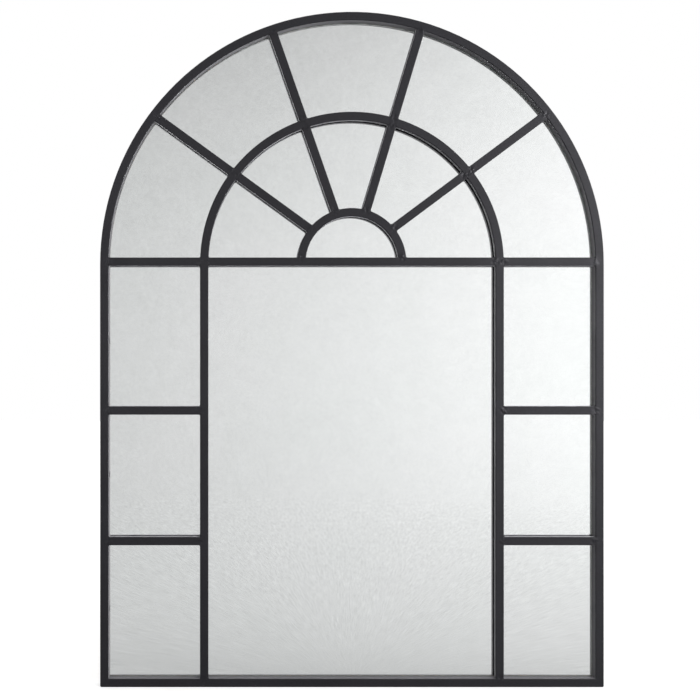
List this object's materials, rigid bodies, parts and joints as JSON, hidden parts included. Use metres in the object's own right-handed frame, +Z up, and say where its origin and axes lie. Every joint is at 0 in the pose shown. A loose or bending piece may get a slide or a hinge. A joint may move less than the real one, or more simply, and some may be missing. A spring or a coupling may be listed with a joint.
{
  "type": "arched window mirror",
  "caption": "Wall mirror shaped as an arched window: black steel frame and glazing bars over arched mirror glass, hung by swinging rings on the back.",
  "frame": {"origin": "middle of the frame's bottom edge, halfway between the front face and the backs of the wall bumpers", "axes": "+Z up, +X to the right seen from the front, front faces -Y, wall side is +Y"},
  "size_m": [0.895, 0.03, 1.1999],
  "materials": {
    "black_frame": "satin black powder coat",
    "mirror": "silvered float glass",
    "foam_tape": "matt black foam",
    "board": "bare brown fibreboard",
    "tab_steel": "satin black powder coat",
    "zinc_steel": "zinc plated",
    "bumper_rubber": "matt black"
  },
  "bodies": {
    "mirror": {"backing_board": "board", "bottom_rail": "black_frame", "glazing_tape": "foam_tape", "hanger_screws": "zinc_steel", "hub_arch": "black_frame", "inner_arch": "black_frame", "inner_spoke_high_left": "black_frame", "inner_spoke_high_right": "black_frame", "inner_spoke_low_left": "black_frame", "inner_spoke_low_right": "black_frame", "left_hanger_strap": "zinc_steel", "left_mullion": "black_frame", "left_stile": "black_frame", "lower_left_bar": "black_frame", "lower_right_bar": "black_frame", "mirror_glass": "mirror", "outer_arch": "black_frame", "outer_spoke_high_left": "black_frame", "outer_spoke_high_right": "black_frame", "outer_spoke_low_left": "black_frame", "outer_spoke_low_right": "black_frame", "retaining_tabs": "tab_steel", "right_hanger_strap": "zinc_steel", "right_mullion": "black_frame", "right_stile": "black_frame", "transom_centre": "black_frame", "transom_left": "black_frame", "transom_right": "black_frame", "upper_left_bar": "black_frame", "upper_right_bar": "black_frame", "wall_bumpers": "bumper_rubber"},
    "left_ring": {"left_hanger_ring": "zinc_steel"},
    "right_ring": {"right_hanger_ring": "zinc_steel"}
  },
  "joints": [
    {"name": "left_ring_swing", "type": "hinge", "parent": "mirror", "child": "left_ring", "pos_m": [-0.44, 0.0123, 0.715], "axis": [1, 0, 0], "range_deg": [0, 174]},
    {"name": "right_ring_swing", "type": "hinge", "parent": "mirror", "child": "right_ring", "pos_m": [0.44, 0.0123, 0.715], "axis": [1, 0, 0], "range_deg": [0, 174]}
  ]
}
